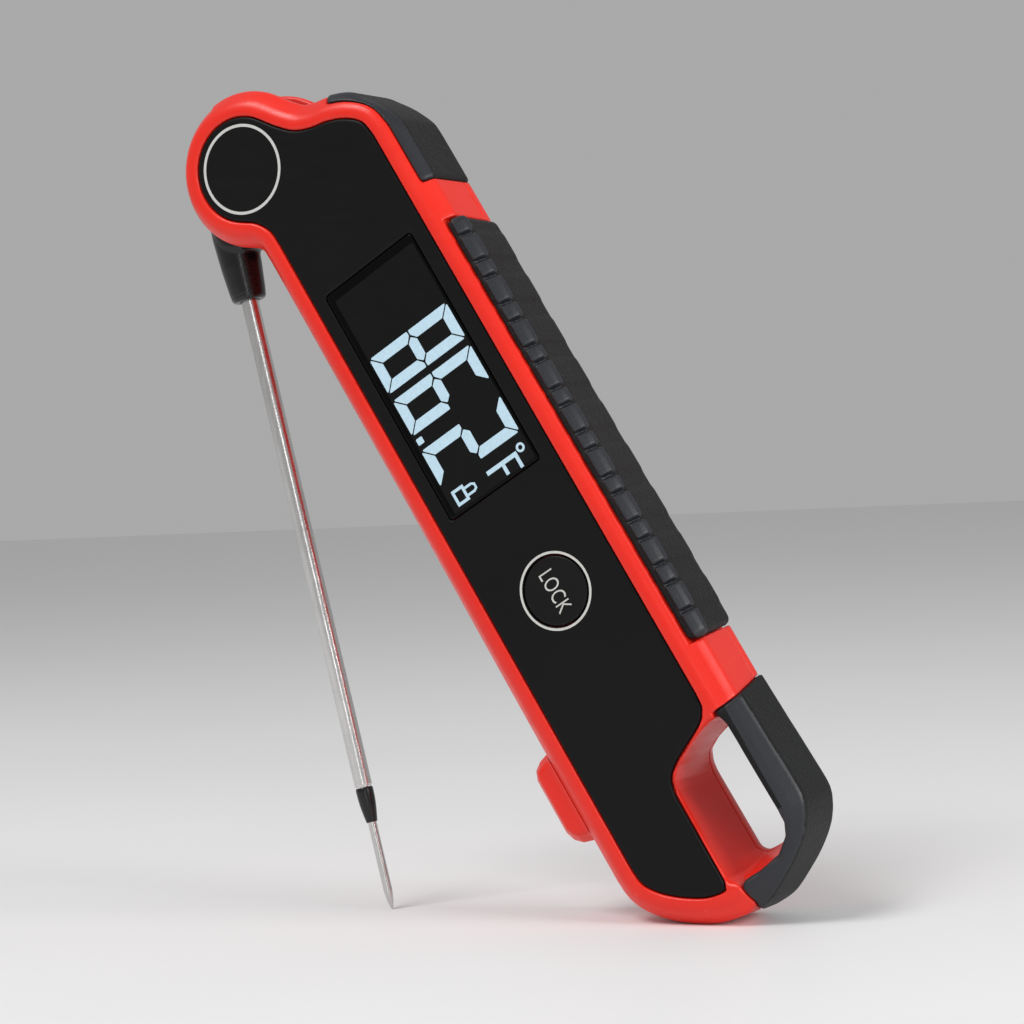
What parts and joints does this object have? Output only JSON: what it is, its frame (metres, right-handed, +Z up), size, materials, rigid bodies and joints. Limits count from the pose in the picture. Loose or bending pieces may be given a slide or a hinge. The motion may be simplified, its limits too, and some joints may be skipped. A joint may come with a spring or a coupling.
{
  "type": "folding meat thermometer",
  "caption": "Folding digital probe thermometer standing open as an A-frame, with side display, ribbed rubber grip, hanging loop and battery door.",
  "frame": {"origin": "on the floor, under the middle of the open thermometer's box; it stands on the probe's tip and the handset's lower corner", "axes": "+Z up, +Y from the display face towards the back, +X to the right as the display is seen; the handset's long axis leans 29.76 degrees from +Z, and the hinge axis is parallel to +Y"},
  "size_m": [0.1152, 0.0184, 0.1484],
  "materials": {
    "shell_red": "satin moulded plastic",
    "panel_black": "satin printed film",
    "window_glass": "clear dark lens",
    "reed_glass": "clear",
    "lcd": "negative liquid crystal",
    "diffuser_white": "matte",
    "silicone_grey": "matte",
    "grip_rubber": "soft satin, fine grain on the sides",
    "hub_black": "glossy",
    "stainless_steel": "polished satin",
    "magnet_nickel": "plated",
    "board_green": "solder mask",
    "chip_black": "matte",
    "battery_wrap": "plain film",
    "plated_steel": "zinc plated",
    "brass": "plain"
  },
  "bodies": {
    "handset": {"front_shell": "shell_red", "rear_shell": "shell_red", "front_panel": "panel_black", "lcd_window": "window_glass", "lcd_panel": "lcd", "backlight": "diffuser_white", "zebra_strip_upper": "silicone_grey", "zebra_strip_lower": "silicone_grey", "main_board": "board_green", "processor_chip": "chip_black", "tact_switch": "chip_black", "buzzer": "chip_black", "reed_switch": "reed_glass", "battery": "battery_wrap", "contact_plate": "plated_steel", "contact_spring": "plated_steel", "case_gasket": "silicone_grey", "magnet_upper": "magnet_nickel", "magnet_lower": "magnet_nickel", "case_screw_1": "plated_steel", "case_screw_2": "plated_steel", "case_screw_3": "plated_steel", "case_screw_4": "plated_steel", "grip_cap": "grip_rubber", "grip_ribbed": "grip_rubber", "loop_cover": "grip_rubber", "tip_guard": "shell_red", "probe_lead": "silicone_grey", "hinge_pin": "stainless_steel", "pivot_cap": "shell_red", "thrust_washer": "stainless_steel", "friction_washer": "stainless_steel", "door_gasket": "silicone_grey"},
    "probe": {"probe_hub": "hub_black", "hinge_bush": "brass", "hub_magnet": "magnet_nickel", "boot_seal": "silicone_grey", "probe_tube": "stainless_steel", "tip_ferrule": "hub_black", "tip_needle": "stainless_steel", "thermocouple_wire": "brass"},
    "button": {"lock_button": "panel_black"},
    "door": {"battery_door": "shell_red"},
    "door_lock": {"door_screw": "plated_steel"}
  },
  "joints": [
    {"name": "probe_fold", "type": "hinge", "parent": "handset", "child": "probe", "pos_m": [-0.0437, 0, 0.13417], "axis": [0, 1, 0], "range_deg": [-17.8, 162.2]},
    {"name": "lock_button_press", "type": "slide", "parent": "handset", "child": "button", "axis": [0, 1, 0], "range_m": [0, 0.0005], "stiffness_N_per_m": 500, "springref_m": -0.001},
    {"name": "battery_door_lift", "type": "slide", "parent": "handset", "child": "door", "axis": [0, 1, 0], "range_m": [0, 0.02]},
    {"name": "door_screw_turn", "type": "hinge", "parent": "door", "child": "door_lock", "pos_m": [0.00896, 0.0088, 0.05415], "axis": [0, 1, 0], "range_deg": [0, 90]}
  ]
}
